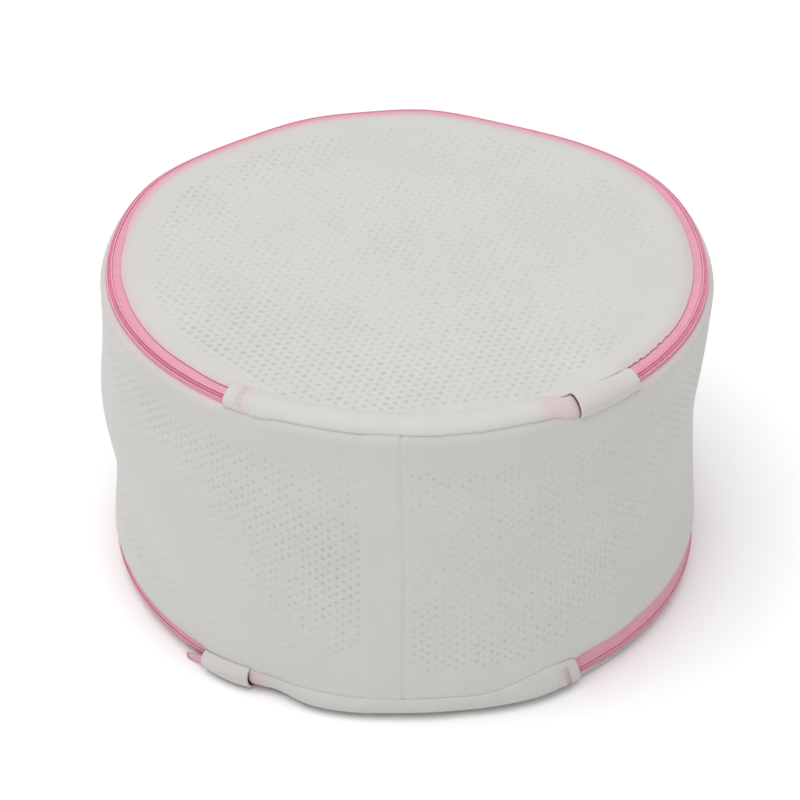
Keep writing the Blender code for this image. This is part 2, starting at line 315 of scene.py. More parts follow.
def dimpled_shell(layout, lift, to_place):
    """Points, flat places, faces and painted pit shade of a padded cloth.

    layout holds flat points, quads, cells with their centres and lips, and the open
    borders with their outward directions. lift gives how deep the pits are at a point
    and the relief of the outer face. to_place turns flat points and heights into space.
    """
    points, quads, cells, centres, lip, borders = layout
    count, total = len(points), len(cells)
    chance = np.random.default_rng(total)
    centres = centres + chance.normal(0.0, CELL_SHIFT, centres.shape)
    strength = chance.uniform(*PIT_STRENGTH, total)
    relief = lift(points)[1]
    centre_depth, centre_relief = lift(centres)
    centre_depth = centre_depth * strength
    lips = (centres[:, None] + lip * chance.uniform(*LIP_SCALE, (total, 1, 1))).reshape(-1, 2)
    lip_depth, lip_relief = lift(lips)
    lip_depth = lip_depth * np.repeat(strength, 6)
    flat = [points, lips, centres, points]
    height = [relief, lip_relief - LIP_DEPTH * lip_depth, centre_relief - PIT_DEPTH * centre_depth,
              -CLOTH + 0.15 * np.minimum(relief, 0)]
    # Painted shade: the pits' lips and centres are marked to be darkened in the material.
    pit = [np.zeros(count), LIP_SHADE * lip_depth, centre_depth, np.zeros(count)]
    lip_at = count + np.arange(total * 6).reshape(total, 6)
    centre_at = count + total * 6 + np.arange(total)
    inner = count + total * 7
    following = np.roll(np.arange(6), -1)
    fans = np.stack([np.repeat(centre_at, 6), lip_at.ravel(), lip_at[:, following].ravel()], -1)
    slopes = np.stack([lip_at, cells, cells[:, following], lip_at[:, following]], -1).reshape(-1, 4)
    groups = {3: [fans], 4: [slopes, quads, quads[:, ::-1] + inner], 6: [cells[:, ::-1] + inner]}
    size = inner + count
    for border, outward in borders:
        rolled, faces = roll_edge(points[border], outward, border, border + inner, size, height[0][border])
        flat.append(rolled[:, :2])
        height.append(rolled[:, 2])
        pit.append(np.zeros(len(rolled)))
        groups[4].append(faces)
        size += len(rolled)
    flat, height, pit = np.concatenate(flat), np.concatenate(height), np.concatenate(pit)
    return to_place(flat, height), flat, [np.concatenate(group) for group in groups.values()], pit


def roll_edge(points, outward, outer, inner, start, top):
    """The rounded edge that joins a cloth's two faces round one closed border."""
    rows = []
    for turn in ROLL_TURNS:
        height = (top - CLOTH) / 2 + (top + CLOTH) / 2 * math.cos(turn)
        rows.append(np.column_stack([points + outward * (EDGE_ROUND * math.sin(turn)), height]))
    fresh = [start + row * len(points) + np.arange(len(points)) for row in range(len(rows))]
    index = [outer, *fresh, inner]
    faces = []
    for near, far in zip(index, index[1:]):
        faces.append(np.stack([near, np.roll(near, -1), np.roll(far, -1), far], -1))
    return np.concatenate(rows), np.concatenate(faces)


def grow_ring(points, quads, ring, fresh):
    """Join a ring of points to a fresh one around it; its quads are added to the list."""
    fresh_at = len(points) + np.arange(len(fresh))
    quads.append(np.stack([ring, np.roll(ring, -1), np.roll(fresh_at, -1), fresh_at], -1))
    return np.concatenate([points, fresh]), fresh_at


# ---------------------------------------------------------------- the padded mesh


def side_layout():
    """Flat pattern of the wall: columns of cells, the seam's strip and both margins."""
    pitch_u, pitch_v = SIDE_PITCH
    half, flat_half = pitch_v / 2, 0.00095
    point_half = pitch_u - flat_half
    outline = np.array([(point_half, 0), (flat_half, half), (-flat_half, half),
                        (-point_half, 0), (-flat_half, -half), (flat_half, -half)])
    column = np.arange(SIDE_COLUMNS)[:, None]
    row = np.arange(SIDE_ROWS)[None]
    u = SIDE_FIRST_ANGLE * RADIUS + column * pitch_u
    v = SIDE_FIELD_TOP + half + row * pitch_v + (column % 2) * half
    centres = np.stack(np.broadcast_arrays(u, v), -1).reshape(-1, 2)
    points, cells = stamp_cells(centres, outline)
    grid = cells.reshape(SIDE_COLUMNS, SIDE_ROWS, 6)
    left = np.append(grid[0][:, [4, 3]].ravel(), grid[0, -1, 2])
    right = np.append(grid[-1][:, [5, 0]].ravel(), grid[-1, -1, 1])
    upper = grid[:, 0][:, [4, 5]].ravel()
    lower = grid[:, -1][:, [2, 1]].ravel()
    around = 2 * math.pi * RADIUS
    seam = around + SEAM_COLUMNS
    strip = np.stack(np.meshgrid(points[left][:, 1], seam, indexing="ij")[::-1], -1)
    strip_at = len(points) + np.arange(strip[..., 0].size).reshape(strip.shape[:2])
    points = np.concatenate([points, strip.reshape(-1, 2)])
    rows = np.concatenate([right[:, None], strip_at, left[:, None]], 1)
    quads = [np.stack([rows[:-1, :-1], rows[:-1, 1:], rows[1:, 1:], rows[1:, :-1]], -1).reshape(-1, 4)]
    borders = []
    for chain, seam_row, way in ((upper, strip_at[0], -1), (lower, strip_at[-1], 1)):
        ring = np.concatenate([chain, seam_row])
        start = points[ring]
        edge = wall_cut(start[:, 0], way) - way * EDGE_ROUND
        for share in (0.25, 0.5, 0.75, 0.92, 1.0):
            fresh = np.column_stack([start[:, 0], start[:, 1] + (edge - start[:, 1]) * share])
            points, ring = grow_ring(points, quads, ring, fresh)
        borders.append((ring, np.tile([0.0, way], (len(ring), 1))))
    lip = np.array([(0.00070, 0), (0.00038, 0.00045), (-0.00038, 0.00045),
                    (-0.00070, 0), (-0.00038, -0.00045), (0.00038, -0.00045)])
    return points, np.concatenate(quads), cells, centres, lip, borders


def wall_cut(u, way):
    """Where the wall's cloth ends above (way -1) and below (way 1).

    It reaches further under the bindings at the front, and is cut higher at the lower right.
    """
    turn = (np.degrees(u / RADIUS) + 180) % 360 - 180
    if way < 0:
        return TOP.wall_edge - 0.0038 * ease(turn, -33, -29) * (1 - ease(turn, 33, 37))
    under = 0.0018 * ease(turn, -36, -31) * (1 - ease(turn, 26, 29))
    short = 0.0066 * ease(turn, 16, 33)
    return WALL_LENGTH + under - short * (1 - ease(turn, 100, 150))


def wall_edge_distance(u, v):
    """Distance from the wall's cut edges, above and below."""
    return v - wall_cut(u, -1), wall_cut(u, 1) - v


def wall_edge_thin(u, v):
    """How far the pressed edges beside the zips are below the cloth's face."""
    above, below = wall_edge_distance(u, v)
    angle = u / RADIUS
    upper = zipped(TOP, angle) * (1 - ease(above, 0.0, 0.006))
    lower = zipped(BOTTOM, angle) * (1 - ease(below, 0.0, 0.006))
    return -EDGE_PRESS * np.maximum(upper, lower)


def halo(distance):
    """How much of the tape's colour shows through the cloth at a distance from its edge, with painted pink
    bounce light in the crevice at the cut edge.
    """
    # Painted reflection: this band within a millimetre of the cut edge is pink light bounced off the tape,
    # painted into the crevice.
    edge = 0.40 * (1 - ease(distance, -0.0004, 0.0010))
    return edge + 0.32 * (1 - ease(distance, 0.0, 0.0040)) + 0.07 * (1 - ease(distance, 0.003, 0.013))


def side_lift(points):
    """How deep the wall's pits are, and the relief of its upright seam."""
    u, v = points[:, 0], points[:, 1]
    angle = (u / RADIUS + math.pi) % (2 * math.pi) - math.pi
    across = angle * RADIUS
    depth = ease(v, 0.026, 0.040) * (1 - ease(v, WALL_LENGTH - 0.024, WALL_LENGTH - 0.014))
    depth = depth * np.clip(0.46 + 0.27 * wander(u * 4.1, v * 7.3), 0.12, 0.72)
    depth = depth * np.where((across > -0.0205) & (across < 0.003), 0.0, 1.0)
    groove = -0.0004 * np.exp(-(across / 0.0008) ** 2)
    ridge = 0.0003 * np.exp(-((across - 0.0022) / 0.0014) ** 2)
    strip = 0.00030 * ease(across, -0.0215, -0.0200) * (1 - ease(across, -0.002, -0.0008))
    return depth, groove + ridge + strip + wall_edge_thin(u, v)


def side_place(flat, height):
    """The wall's flat points in space."""
    return place(1, flat[:, 0] / RADIUS, flat[:, 1], height)


def make_side_cloth():
    """The padded wall, one closed strip with its seam at the front."""
    points, flat, groups, pit = dimpled_shell(side_layout(), side_lift, side_place)
    angle = flat[:, 0] / RADIUS
    above, below = wall_edge_distance(flat[:, 0], flat[:, 1])
    tint = np.maximum(zipped(TOP, angle) * halo(above), zipped(BOTTOM, angle) * 0.7 * halo(below))
    wall = make_piece("side_cloth", points, groups, MESH_LOOK, "cushion_mesh", pit=pit, tint=tint)
    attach(wall, "root")
    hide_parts("side_panel")


def zipped(end, angle):
    """1 where the zip shows at these rim angles, 0 at the front, smooth between."""
    left, right = sorted([end.cover, end.garage])
    low, high = right[1], left[0] + 2 * math.pi
    margin = math.radians(2)
    angle = angle % (2 * math.pi)
    return ease(angle, low - margin, low + margin) * (1 - ease(angle, high - margin, high + margin))


def trace_border(cells):
    """The outer border of a field of cells, as one ordered loop of point numbers."""
    pairs = np.stack([cells, np.roll(cells, -1, axis=1)], -1).reshape(-1, 2)
    known = set(map(tuple, pairs.tolist()))
    following = {a: b for a, b in known if (b, a) not in known}
    first = min(following)
    loop = [first]
    while following[loop[-1]] != first:
        loop.append(following[loop[-1]])
    return np.array(loop)


def end_layout(end):
    """Flat pattern of a round panel: a field of cells and a margin out to the edge."""
    edge = FLAT_RADIUS + end.panel_edge
    field = edge - 0.0080
    reach = int(edge / END_PITCH) + 2
    i, j = (grid.ravel() for grid in np.meshgrid(np.arange(-reach, reach + 1), np.arange(-reach, reach + 1)))
    turn = np.array([[math.cos(END_TURN), math.sin(END_TURN)], [-math.sin(END_TURN), math.cos(END_TURN)]])
    centres = np.column_stack([(i + j / 2) * END_PITCH, j * END_PITCH * math.sqrt(0.75)]) @ turn
    centres = centres[np.hypot(*centres.T) < field]
    angles = np.radians(30 + 60 * np.arange(6))
    hexagon = np.column_stack([np.cos(angles), np.sin(angles)]) @ turn
    points, cells = stamp_cells(centres, hexagon * END_PITCH / math.sqrt(3))
    ring = trace_border(cells)
    start = points[ring]
    angle = np.unwrap(np.arctan2(start[:, 1], start[:, 0]))
    angle = np.maximum.accumulate(angle) if angle[-1] > angle[0] else np.minimum.accumulate(angle)
    radius = np.hypot(*start.T)
    rim = edge - EDGE_ROUND + edge_wave(end, angle)
    quads = []
    for share in (0.3, 0.6, 0.85, 1.0):
        rho = radius + (rim - radius) * share
        fresh = np.column_stack([rho * np.cos(angle), rho * np.sin(angle)])
        points, ring = grow_ring(points, quads, ring, fresh)
    outward = np.column_stack([np.cos(angle), np.sin(angle)])
    return points, np.concatenate(quads), cells, centres, hexagon * 0.00060, [(ring, outward)]


def edge_wave(end, angle):
    """Slack along a round panel's cut edge; the upper one has scallops just past the garage."""
    rim = (angle + math.pi / 2) % (2 * math.pi)
    scallops = 0.0006 * np.sin(rim * RADIUS / 0.0052 * 2 * math.pi)
    slack = 0.0007 * wander(np.sin(rim) * 2, np.cos(rim) * 2, 1.0 + end.side)
    if end.side < 0:
        slack -= 0.0028 * ease(rim, math.radians(33), math.radians(44)) * (1 - ease(rim, 5.5, 5.7))
    else:
        slack += 0.0032 * ease(rim, math.radians(112), math.radians(135)) * (1 - ease(rim, 4.45, 4.68))
    near = ease(rim, math.radians(47), math.radians(49)) * (1 - ease(rim, math.radians(60), math.radians(68)))
    return slack + (scallops * near if end.side > 0 else 0)


def end_lift(end):
    """How deep a round panel's pits are: full inside, fading towards the zip."""
    edge = FLAT_RADIUS + end.panel_edge

    def lift(points):
        radius = np.hypot(*points.T)
        rim = np.arctan2(points[:, 0], -points[:, 1])
        behind = ease(np.abs(np.degrees(rim)), 24, 40)
        fade = ease(edge - radius, 0.004 + 0.006 * behind, 0.007 + 0.013 * behind)
        patchy = np.clip(0.90 + 0.22 * wander(points[:, 0] * 6.7, points[:, 1] * 6.1, 0.5), 0.5, 1.15)
        x, y = points.T
        # Pits and their painted shade are deeper towards the front and the left, shallower at the right.
        worn = 0.60 + 0.35 * ease(-y, 0.03, 0.12) + 0.10 * ease(-x, 0.03, 0.12) - 0.14 * ease(x, 0.05, 0.13)
        press = zipped(end, rim) * (1 - ease(edge - radius, 0.0, 0.006))
        return fade * patchy * worn, -EDGE_PRESS * press

    return lift


def end_place(end):
    """A round panel's flat points in space."""

    def to_place(flat, height):
        angle = np.arctan2(flat[:, 0], -flat[:, 1])
        return place(end.side, angle, np.hypot(*flat.T) - FLAT_RADIUS, height)

    return to_place


def make_end_cloth(end):
    """A round padded panel in one piece."""
    layout, lift, to_place = end_layout(end), end_lift(end), end_place(end)
    points, flat, groups, pit = dimpled_shell(layout, lift, to_place)
    edge = FLAT_RADIUS + end.panel_edge
    angle = np.arctan2(flat[:, 0], -flat[:, 1]) % (2 * math.pi)
    tint = zipped(end, angle) * halo(edge - np.hypot(*flat.T))
    panel = make_piece(f"{end.name}_cloth", points, groups, MESH_LOOK, "cushion_mesh", pit=pit, tint=tint)
    fold(panel, end)
    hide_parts(f"{end.name}_panel", f"{end.name}_panel_front")


def fold(piece, end):
    """Bake a piece's placement into its mesh; it is not bent."""
    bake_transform(piece)


# ---------------------------------------------------------------- strips and threads


def ribbon_outline(line, thickness):
    """Closed outline of a ribbon's section about its centre line."""
    tangent = np.gradient(line, axis=0)
    tangent /= np.linalg.norm(tangent, axis=1, keepdims=True)
    normal = np.column_stack([-tangent[:, 1], tangent[:, 0]]) * thickness / 2
    tips = (line[-1] + tangent[-1] * thickness * 0.35, line[0] - tangent[0] * thickness * 0.35)
    return np.concatenate([line + normal, [tips[0]], (line - normal)[::-1], [tips[1]]])


def swept_ribbon(name, end, angles, lines, thicknesses, material, slot, tint=None, skew=0.0):
    """A ribbon swept round the rim, with one centre line and thickness for each angle."""
    outlines = np.array([ribbon_outline(line, t) for line, t in zip(lines, thicknesses)])
    stations, size = outlines.shape[:2]
    slant = skew * (outlines[..., 0] - end.seat) / RADIUS
    points = place(end.side, angles[:, None] + slant, outlines[..., 0], outlines[..., 1]).reshape(-1, 3)
    quads = ring_faces(stations, size)
    caps = np.array([np.arange(size)[::-1], (stations - 1) * size + np.arange(size)])
    arc = np.broadcast_to((angles * RADIUS)[:, None], outlines.shape[:2])
    weave = np.stack([arc, outlines[..., 0], outlines[..., 1]], -1).reshape(-1, 3)
    half = lines.shape[1]
    outer = np.tile(np.arange(size) <= half, stations)
    if tint is None:
        tint = np.zeros(stations)
    return make_piece(name, points, [quads, caps], material, slot, weave=weave,
                      tint=np.repeat(tint, size), inside=1.0 - outer)


def tube(path, radius, sides, across):
    """Points and faces of a tube along a path; across is a direction never along the path."""
    tangent = np.gradient(path, axis=0)
    tangent /= np.linalg.norm(tangent, axis=1, keepdims=True)
    first = across - np.sum(across * tangent, 1, keepdims=True) * tangent
    first /= np.linalg.norm(first, axis=1, keepdims=True)
    second = np.cross(tangent, first)
    turns = np.arange(sides) * 2 * math.pi / sides
    radius = np.broadcast_to(radius, len(path))[:, None, None]
    around = first[:, None] * np.cos(turns)[:, None] + second[:, None] * np.sin(turns)[:, None]
    points = (path[:, None] + around * radius).reshape(-1, 3)
    quads = ring_faces(len(path), sides)
    caps = np.array([np.arange(sides)[::-1], (len(path) - 1) * sides + np.arange(sides)])
    return points, quads, caps


def arc_steps(low, high, spacing):
    """Rim angles from low to high, about spacing metres apart."""
    return np.linspace(low, high, int(abs(high - low) * RADIUS / spacing) + 2)


def straight_line(low, high, out, count):
    """A flat centre line across the section."""
    return np.column_stack([np.linspace(low, high, count), np.full(count, out)])


def make_tapes(end):
    """The two woven zip tapes, under the edges of the cloth, which hug the coil."""
    angles = arc_steps(*end.zip_span, 0.0035)
    wide = 0.012 if end.side > 0 else 0.0190
    for part, low, high in (("wall", 0.0006, wide), ("lid", -0.012, -0.0006)):
        line = straight_line(end.seat + low, end.seat + high, TAPE_OUT, 20)
        near = np.abs(line[:, 0] - end.seat)
        hug = 0.00035 * (1 - ease(near, 0.0032, 0.0050))
        line[:, 1] += hug + 0.0007 * np.exp(-((near - 0.0032) / 0.0008) ** 2)
        lines = np.repeat(line[None], len(angles), 0)
        piece = swept_ribbon(f"{end.name}_woven_tape_{part}", end, angles, lines,
                             np.full(len(angles), TAPE), TAPE_LOOK, "zip_tape")
        attach_zip_part(piece, end, part, "tape")


def attach_zip_part(piece, end, part, kind):
    """Ride on the wall, or for the lid have the placement baked in, and stand for the CAD strips."""
    if part == "wall":
        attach(piece, "root")
        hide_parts(f"{end.name}_{kind}_wall")
        return
    fold(piece, end)
    stem = f"{end.name}_{kind}_lid"
    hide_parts(stem, f"{stem}_start", f"{stem}_end")


def rim_travel(angles):
    """Unit vectors along the rim."""
    return np.column_stack([np.cos(angles), np.sin(angles), np.zeros_like(angles)])


def make_coils(end):
    """The zip's two nylon coils, flattened spirals whose turns interlock."""
    low, high = end.zip_span
    turns = int((high - low) * RADIUS / COIL_PITCH)
    step = np.arange(turns * COIL_STEPS)
    turn = step * 2 * math.pi / COIL_STEPS
    for part, way, shift in (("wall", 1, 0.0), ("lid", -1, 0.5)):
        angles = low + (step / COIL_STEPS + shift) * COIL_PITCH / RADIUS
        along = end.seat + way * (COIL_MIDDLE + COIL_SWING * np.cos(turn))
        out = COIL_OUT + COIL_RISE * np.sin(turn)
        points, quads, caps = tube(place(end.side, angles, along, out), COIL_WIRE, 5, rim_travel(angles))
        piece = make_piece(f"{end.name}_nylon_coil_{part}", points, [quads, caps], COIL_LOOK, "zip_coil")
        attach_zip_part(piece, end, part, "coil")


def make_zip_stitches(end):
    """The chain stitch that holds each coil on its tape."""
    angles = arc_steps(*end.zip_span, 0.0008)
    beads = 0.00034 * (1 + 0.28 * np.sin(angles * RADIUS / 0.0021 * 2 * math.pi))
    for part, way in (("wall", 1), ("lid", -1)):
        path = place(end.side, angles, end.seat + way * STITCH_ALONG, STITCH_OUT)
        outward = place(end.side, angles, end.seat + way * STITCH_ALONG, 0.0) - path
        points, quads, caps = tube(path, beads, 6, outward)
        piece = make_piece(f"{end.name}_coil_stitch_{part}", points, [quads, caps], THREAD_LOOK, "zip_tape")
        if part == "wall":
            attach(piece, "root")
        else:
            fold(piece, end)


def crowned_line(low, high, foot, crown, count, power=2.4):
    """A centre line that rises from the cloth and falls back to it."""
    share = np.linspace(-1, 1, count)
    across = (low + high) / 2 + (high - low) / 2 * share
    return np.column_stack([across, foot + crown * (1 - np.abs(share) ** power)])


def end_thickness(count, body, lip):
    """Thickness along a strip whose two ends are folded under."""
    thick = np.full(count, body)
    thick[[1, 2, -3, -2]] = lip
    thick[[0, -1]] = body * 0.5
    return thick


def strip_angles(span, spacing):
    """Angles of a strip, with extra steps close to its two ends."""
    low, high = span
    fold_under = 0.0004 / RADIUS
    inner = arc_steps(low + 3 * fold_under, high - 3 * fold_under, spacing)
    return np.concatenate([[low, low + fold_under], inner, [high - fold_under, high]])


def band_reach(end, angle):
    """The binding's lower and upper limits along the section; it widens towards the patch."""
    near = float(ease(-math.degrees(angle) * end.side, *WIDENING[end.name]))
    low, high = (band + (patch - band) * near for band, patch in zip(BAND[end.name], PATCH[end.name]))
    slack = 0.0006 * float(wander(angle * 5, 0.8, end.side)) * (1 - near)
    return low + slack, high + 0.7 * slack


def crown_wave(angle):
    """How much the binding's crown varies along the rim."""
    return 0.0005 * wander(angle * 3, 0.3, 2.0)


def make_binding(end):
    """The smooth knit binding across the front, slightly crowned over its seam."""
    first, last = sorted((angle * end.side for angle in end.binding))
    angles = strip_angles(sorted((first * end.side, (last + SLEEVE_LAP) * end.side)), 0.003)
    lines = []
    for angle in angles:
        low, high = band_reach(end, angle)
        narrow = float(ease(math.degrees(angle * end.side), 27, 32))
        low += (end.seat - 0.0064 - low) * narrow
        high += (end.seat + 0.0064 - high) * narrow
        crown = STRIP_CROWN + crown_wave(angle)
        lines.append(crowned_line(low, high, STRIP_FOOT, crown * (1 - 0.5 * narrow), 17))
    degrees = np.abs(np.degrees(angles))
    tint = 0.30 * ease(degrees, 25.0, 27.0) * ((angles > 0) == (end.side > 0))
    piece = swept_ribbon(f"{end.name}_knit_binding", end, angles, np.array(lines),
                         end_thickness(len(angles), KNIT, KNIT * 1.15), KNIT_LOOK, "knit_binding", tint)
    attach(piece, "root")
    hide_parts(f"{end.name}_binding")


def cover_share(angles):
    """0 where the patch laps over the binding, 1 at its edge by the zip."""
    outer = np.abs(angles).max()
    return 1 - np.clip((outer - np.abs(angles)) * RADIUS / COVER_LENGTH, 0, 1)


def cover_lines(end, angles):
    """Centre lines of the patch: it sinks into the binding and has round corners by the zip."""
    lines = []
    for angle, share in zip(angles, cover_share(angles)):
        low, high = band_reach(end, angle)
        inward = min((1 - share) * COVER_LENGTH / 0.004, 1.0)
        squeeze = 0.0002 + 0.0026 * (1 - math.sqrt(1 - (1 - inward) ** 2))
        rise = COVER_RISE * float(ease(share, 0.05, 0.6))
        dip = 0.0005 * float(ease(share, 0.3, 0.9))
        crown = STRIP_CROWN + crown_wave(angle) * (1 - share) - dip
        foot = STRIP_FOOT + rise * 0.6
        lines.append(crowned_line(low + squeeze, high - squeeze, foot, crown + rise * 0.4, 15))
    return np.array(lines)


def make_end_cover(end):
    """The knit patch over the zip's far end; it laps over the end of the binding."""
    lap = math.radians(1.9) * end.side
    first, last = end.cover
    span = (first, last + lap) if end.side > 0 else (first + lap, last)
    angles = strip_angles(span, 0.0008)
    share = cover_share(angles)
    tint = 0.20 * ease(share, 0.0, 0.35) * (1 - 0.8 * ease(share, 0.72, 0.86))
    piece = swept_ribbon(f"{end.name}_cover_patch", end, angles, cover_lines(end, angles),
                         KNIT * (0.35 + 0.5 * ease(share, 0.1, 0.5)), KNIT_LOOK, "knit_binding",
                         tint, skew=COVER_SKEW[end.name])
    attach(piece, "root")
    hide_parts(f"{end.name}_end_cover")


def make_garage(end):
    """The elastic sleeve over the closed slider, open at both mouths."""
    low, high = end.garage
    if end.side < 0:
        low += math.radians(0.9)
    angles = strip_angles((low, high), 0.0016)
    front = (angles - low) / (high - low)
    if end.side < 0:
        front = 1 - front
    lines = []
    for share in front:
        crown = 0.0037 + 0.0010 * math.sin(math.pi * share) ** 0.6 + 0.0005 * share
        half = 0.0080 - 0.0017 * share
        lines.append(crowned_line(end.seat - half, end.seat + half, 0.0003, crown, 21, 3.2))
    piece = swept_ribbon(f"{end.name}_garage_sleeve", end, angles, np.array(lines),
                         end_thickness(len(angles), KNIT, KNIT * 1.5), SLEEVE_LOOK, "knit_binding",
                         np.full(len(angles), 0.05))
    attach(piece, "root")
    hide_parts(f"{end.name}_garage")


def make_bar_tack(end):
    """The zigzag bar tack across the cover patch."""
    steps = np.arange(19)
    inner, outer = sorted(end.cover, key=abs)
    middle = inner + (outer - inner) * 0.42
    line = cover_lines(end, np.array([inner, middle, outer]))[1]
    along = np.linspace(line[2, 0], line[-3, 0], len(steps))
    offset = 0.0021 * (steps % 2 * 2 - 1) + COVER_SKEW[end.name] * (along - end.seat)
    out = np.interp(along, line[:, 0], line[:, 1]) + KNIT * 0.42
    angles = middle + offset / RADIUS
    path = place(end.side, angles, along, out)
    outward = path - place(end.side, angles, along, out - 0.001)
    points, quads, caps = tube(path, 0.00016, 5, outward)
    piece = make_piece(f"{end.name}_bar_tack", points, [quads, caps], TACK_LOOK, "knit_binding")
    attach(piece, "root")


def make_seam_tape():
    """The knit tape that binds the wall's seam on the inside."""
    low, high = rim_angles("side_seam_binding")
    corner_low, corner_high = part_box("side_seam_binding")
    angles = strip_angles((low, high), 0.003)
    stops = [HEIGHT - corner_high.z, HEIGHT - corner_low.z]
    ends = [BEND + stop - CORNER for stop in stops]
    out = -CLOTH - 0.0003 - KNIT / 2
    lines = np.repeat(straight_line(ends[0], ends[1], out, 40)[None], len(angles), 0)
    piece = swept_ribbon("side_seam_tape", TOP, angles, lines,
                         end_thickness(len(angles), KNIT, KNIT * 1.1), KNIT_LOOK, "knit_binding")
    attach(piece, "root")
    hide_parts("side_seam_binding")


# ---------------------------------------------------------------- slider and pull


def joint(name):
    """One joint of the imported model."""
    return next(j for j in frame["joints"] if j["name"] == name)


def slider_frame(end):
    """Frame on the zip's centre line under the pull's pivot: x along the zip, z off the cloth."""
    pivot = Vector(joint(f"{end.name}_pull_hinge")["pos_m"])
    turn = math.atan2(pivot.x, -pivot.y)
    lean = end.seat / CORNER
    radial = Vector((math.sin(turn), -math.cos(turn), 0.0))
    travel = Vector((math.cos(turn), math.sin(turn), 0.0)) * end.side
    outward = radial * math.sin(lean) + Vector((0.0, 0.0, math.cos(lean) * end.side))
    axes = Matrix((travel, outward.cross(travel), outward)).transposed().to_4x4()
    axes.translation = pivot
    return axes


def rounded_plate(bm, outline, low, high, bevel):
    """Add a flat plate with softened edges to a bmesh."""
    bottom = [bm.verts.new((x, y, low)) for x, y in outline]
    top = [bm.verts.new((x, y, high)) for x, y in outline]
    faces = [bm.faces.new(bottom[::-1]), bm.faces.new(top)]
    for index in range(len(outline)):
        after = (index + 1) % len(outline)
        faces.append(bm.faces.new((bottom[index], bottom[after], top[after], top[index])))
    edges = list(dict.fromkeys(edge for face in faces[:2] for edge in face.edges))
    bmesh.ops.bevel(bm, geom=edges, offset=bevel, segments=3, profile=0.5, affect="EDGES")


def arc_points(centre, radius, start, stop, count):
    """Points on an arc; angles are in degrees."""
    turns = np.radians(np.linspace(start, stop, count))
    return [(centre[0] + radius * math.cos(t), centre[1] + radius * math.sin(t)) for t in turns]


def rounded_box(low, high, low_half, high_half, corner, count):
    """A box along x with round corners, and a half width of its own at each end."""
    centres = ((low + corner, -low_half + corner), (high - corner, -high_half + corner),
               (high - corner, high_half - corner), (low + corner, low_half - corner))
    outline = []
    for centre, start in zip(centres, (180, 270, 0, 90)):
        outline += arc_points(centre, corner, start, start + 90, count)
    return outline


def rectangle(x_low, x_high, half):
    """Corners of a rectangle about the centre line."""
    return [(x_low, -half), (x_high, -half), (x_high, half), (x_low, half)]


def finish_metal(name, bm, axes, body, node, look):
    """Turn a bmesh into a smooth shaded metal piece on a body."""
    mesh = bpy.data.meshes.new(name)
    bmesh.ops.recalc_face_normals(bm, faces=bm.faces)
    bm.to_mesh(mesh)
    bm.free()
    mesh.transform(axes)
    mesh.shade_smooth()
    mesh.set_sharp_from_angle(angle=math.radians(40))
    points = np.array([v.co for v in mesh.vertices])
    add_place(mesh, "rest", points)
    mesh.materials.append(look)
    piece = bpy.data.objects.new(name, mesh)
    bpy.context.scene.collection.objects.link(piece)
    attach(piece, body)
    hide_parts(node)


def make_slider(end):
    """The die-cast slider: two plates, the neck between them, lips and an arched bail."""
    axes = slider_frame(end)
    pivot_out, plate, bevel, sunk, fine = 0.00125, 0.0009, 0.00028, 0.0002, 0.0001
    over, under = -0.0007 - pivot_out, -0.0044 - pivot_out
    bm = bmesh.new()
    outline = rounded_box(-0.0045, 0.0045, 0.0035, 0.0029, 0.0012, 5)
    rounded_plate(bm, outline, over, over + plate, bevel)
    rounded_plate(bm, outline, under - plate, under, bevel)
    rounded_plate(bm, rectangle(-0.0042, -0.0022, 0.0004), under - sunk, over + sunk, fine)
    for side in (-1, 1):
        lip = [(-0.0036, side * 0.0028), (0.0034, side * 0.0022), (0.0036, side * 0.0028),
               (-0.0036, side * 0.0035)]
        rounded_plate(bm, lip[::side], over - plate, over + sunk, fine)
    add_bail(bm, over + 0.0008, 0.0030 - pivot_out)
    finish_metal(f"{end.name}_zip_slider", bm, axes, f"{end.name}_slider_body",
                 f"{end.name}_slider", METAL_LOOK)


def add_bail(bm, low, high):
    """The arched bridge that the pull's eye hangs on."""
    path = [(-0.0025, low), (-0.00235, high - 0.0011), (-0.0018, high - 0.0005), (-0.0009, high - 0.0003),
            (0.0009, high - 0.0003), (0.0018, high - 0.0005), (0.00235, high - 0.0011), (0.0025, low)]
    points = np.array([(x, 0.0, z) for x, z in path])
    ring, quads, caps = tube(points, 0.00038, 8, np.tile([0.0, 1.0, 0.0], (len(points), 1)))
    verts = [bm.verts.new(p) for p in ring]
    for face in [*quads.tolist(), *caps.tolist()]:
        bm.faces.new([verts[i] for i in face])


def pull_curve(name):
    """The pull's flat outline with its eye and slot, as a filled curve with soft edges."""
    curve = bpy.data.curves.new(name, "CURVE")
    curve.dimensions = "2D"
    curve.fill_mode = "BOTH"
    curve.extrude = 0.00027
    curve.bevel_depth = 0.00018
    curve.bevel_resolution = 2
    inset = curve.bevel_depth
    root, tip, length = 0.0027 - inset, 0.0021 - inset, 0.020 - inset
    shoulder = [(0.0060, root), (0.0075, root - 0.0002), (0.0095, tip + 0.0001), (0.0110, tip)]
    outer = (arc_points((0.0002, -root + 0.0009), 0.0009, 180, 270, 5)
             + [(x, -y) for x, y in shoulder]
             + arc_points((length - 0.0012, -tip + 0.0012), 0.0012, -90, 0, 6)
             + arc_points((length - 0.0012, tip - 0.0012), 0.0012, 0, 90, 6)
             + shoulder[::-1]
             + arc_points((0.0002, root - 0.0009), 0.0009, 90, 180, 5))
    eye = round_slot(0.0006, 0.0034, 0.0015, inset)
    slot = round_slot(0.0150, 0.0187, 0.0012, inset)
    for outline in (outer, eye, slot):
        spline = curve.splines.new("POLY")
        spline.points.add(len(outline) - 1)
        for point, (x, y) in zip(spline.points, outline):
            point.co = (x, y, 0.0, 1.0)
        spline.use_cyclic_u = True
    return curve


def round_slot(low, high, half, inset):
    """A rectangular hole with rounded corners, grown by the edge's bevel."""
    return rounded_box(low - inset, high + inset, half + inset, half + inset, 0.0005, 4)


